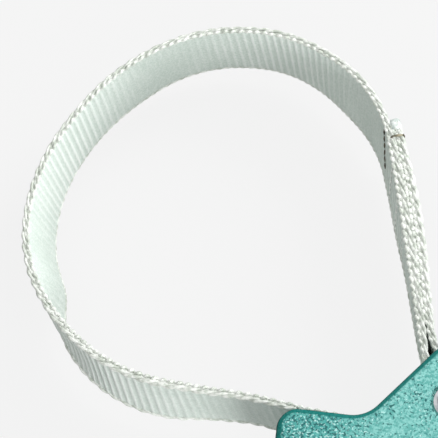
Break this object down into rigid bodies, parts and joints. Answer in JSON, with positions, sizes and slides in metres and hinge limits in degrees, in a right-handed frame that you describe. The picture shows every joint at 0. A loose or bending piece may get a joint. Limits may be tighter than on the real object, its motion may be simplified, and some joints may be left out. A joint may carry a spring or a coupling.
{
  "type": "strap wrench",
  "caption": "Strap wrench with a cast handle, a two-cheek head and a woven strap that loops round a pipe and pulls tight through the head.",
  "frame": {"origin": "centre of the strap loop, where the axis of the work passes, on the plane that the lower cheek rests on", "axes": "+Z along the axis of the work and of the anchor pin, towards the pin's ringed end; +X along the handle, towards the hang eye"},
  "size_m": [0.4657, 0.2021, 0.0425],
  "materials": {
    "hammertone_paint": "hammertone enamel on cast iron",
    "pin_steel": "turned steel",
    "zinc_steel": "zinc plated",
    "spring_steel": "black phosphate",
    "strap_webbing": "heavy ribbed woven webbing",
    "waxed_thread": "waxed sewing thread",
    "white_thread": "bonded sewing thread"
  },
  "bodies": {
    "handle": {"handle_casting": "hammertone_paint", "strap_eye": "strap_webbing", "strap_fold": "strap_webbing", "strap_loop": "strap_webbing", "fold_stitches": "waxed_thread", "reinforcing_stitches": "white_thread"},
    "pin": {"anchor_pin": "pin_steel", "pin_washer": "zinc_steel", "retaining_ring": "spring_steel"},
    "sleeve": {"anchor_sleeve": "pin_steel"},
    "tail": {"strap_tail": "strap_webbing", "tail_ferrule": "zinc_steel", "tail_rivets": "zinc_steel"}
  },
  "joints": [
    {"name": "strap_feed", "type": "slide", "parent": "handle", "child": "tail", "axis": [0.9854, -0.1702, 0], "range_m": [0, 0.04], "deforming": ["strap_loop"]},
    {"name": "pin_turn", "type": "hinge", "parent": "handle", "child": "pin", "pos_m": [0.09582, -0.08596, 0], "axis": [0, 0, 1], "continuous": true},
    {"name": "sleeve_turn", "type": "hinge", "parent": "pin", "child": "sleeve", "pos_m": [0.09582, -0.08596, 0], "axis": [0, 0, 1], "continuous": true}
  ]
}
